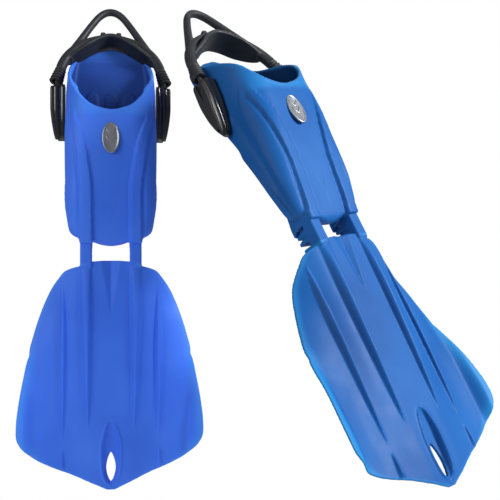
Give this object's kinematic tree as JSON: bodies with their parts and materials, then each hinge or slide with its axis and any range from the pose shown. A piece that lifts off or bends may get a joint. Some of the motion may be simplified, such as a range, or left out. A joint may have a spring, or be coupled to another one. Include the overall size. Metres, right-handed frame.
{
  "type": "swim fins",
  "caption": "Pair of open heel swim fins: blades pivot on flexible hinge rails, buckles swing on posts and elastic heel straps stretch.",
  "frame": {"origin": "inside the left fin's foot pocket, on its centre line, level with the instep rim and in the plane of the blade's middle panel", "axes": "+X across the left fin towards the right fin, +Y from the left fin's instep side to its sole side, +Z along the left fin from the blade tip to the heel"},
  "size_m": [0.5735, 0.4338, 0.6717],
  "materials": {
    "left_moulded_blue": "satin moulded elastomer",
    "right_moulded_blue": "satin moulded elastomer",
    "badge_silver": "silver grey, fine satin",
    "buckle_gloss": "glossy black",
    "buckle_matte": "matte dark grey",
    "ferrule": "plain",
    "cord_rubber": "matte black",
    "strap_rubber": "matte black"
  },
  "bodies": {
    "foot_pockets": {"left_fin_instep": "left_moulded_blue", "left_fin_left_side_wall": "left_moulded_blue", "left_fin_right_side_wall": "left_moulded_blue", "left_fin_sole": "left_moulded_blue", "left_fin_badge": "badge_silver", "left_fin_left_strap_post": "left_moulded_blue", "left_fin_right_strap_post": "left_moulded_blue", "right_fin_instep": "right_moulded_blue", "right_fin_left_side_wall": "right_moulded_blue", "right_fin_right_side_wall": "right_moulded_blue", "right_fin_sole": "right_moulded_blue", "right_fin_badge": "badge_silver", "right_fin_left_strap_post": "right_moulded_blue", "right_fin_right_strap_post": "right_moulded_blue"},
    "left_fin_blade_body": {"left_fin_blade": "left_moulded_blue", "left_fin_left_hinge_rail": "left_moulded_blue", "left_fin_right_hinge_rail": "left_moulded_blue"},
    "left_fin_buckles": {"left_fin_left_buckle_body": "buckle_gloss", "left_fin_right_buckle_body": "buckle_gloss", "left_fin_left_buckle_cover": "buckle_matte", "left_fin_right_buckle_cover": "buckle_matte", "left_fin_left_cord_anchor": "ferrule", "left_fin_right_cord_anchor": "ferrule", "left_fin_bungee_cord": "cord_rubber"},
    "left_fin_strap": {"left_fin_left_bellows": "strap_rubber", "left_fin_right_bellows": "strap_rubber", "left_fin_heel_strap": "strap_rubber", "left_fin_heel_pad": "strap_rubber", "left_fin_pull_loop": "strap_rubber"},
    "right_fin_blade_body": {"right_fin_blade": "right_moulded_blue", "right_fin_left_hinge_rail": "right_moulded_blue", "right_fin_right_hinge_rail": "right_moulded_blue"},
    "right_fin_buckles": {"right_fin_left_buckle_body": "buckle_gloss", "right_fin_right_buckle_body": "buckle_gloss", "right_fin_left_buckle_cover": "buckle_matte", "right_fin_right_buckle_cover": "buckle_matte", "right_fin_left_cord_anchor": "ferrule", "right_fin_right_cord_anchor": "ferrule", "right_fin_bungee_cord": "cord_rubber"},
    "right_fin_strap": {"right_fin_left_bellows": "strap_rubber", "right_fin_right_bellows": "strap_rubber", "right_fin_heel_strap": "strap_rubber", "right_fin_heel_pad": "strap_rubber", "right_fin_pull_loop": "strap_rubber"}
  },
  "joints": [
    {"name": "left_fin_blade_flex", "type": "hinge", "parent": "foot_pockets", "child": "left_fin_blade_body", "pos_m": [0, 0.005, -0.191], "axis": [1, 0, 0], "range_deg": [-35, 40], "stiffness_Nm_per_rad": 14, "deforming": ["left_fin_left_hinge_rail", "left_fin_right_hinge_rail"]},
    {"name": "left_fin_strap_swing", "type": "hinge", "parent": "foot_pockets", "child": "left_fin_buckles", "pos_m": [0, 0.04, -0.021], "axis": [1, 0, 0], "range_deg": [-20, 95]},
    {"name": "left_fin_strap_stretch", "type": "slide", "parent": "left_fin_buckles", "child": "left_fin_strap", "axis": [0, 0.4384, 0.8988], "range_m": [0, 0.03], "stiffness_N_per_m": 900, "deforming": ["left_fin_bungee_cord"]},
    {"name": "right_fin_blade_flex", "type": "hinge", "parent": "foot_pockets", "child": "right_fin_blade_body", "pos_m": [0.2614, -0.1823, -0.16193], "axis": [0.8351, 0.5373, 0.118], "range_deg": [-35, 40], "stiffness_Nm_per_rad": 14, "deforming": ["right_fin_left_hinge_rail", "right_fin_right_hinge_rail"]},
    {"name": "right_fin_strap_swing", "type": "hinge", "parent": "foot_pockets", "child": "right_fin_buckles", "pos_m": [0.18984, -0.10085, -0.02639], "axis": [0.8351, 0.5373, 0.118], "range_deg": [-20, 95]},
    {"name": "right_fin_strap_stretch", "type": "slide", "parent": "right_fin_buckles", "child": "right_fin_strap", "axis": [-0.4689, 0.4701, 0.7477], "range_m": [0, 0.03], "stiffness_N_per_m": 900, "deforming": ["right_fin_bungee_cord"]}
  ]
}
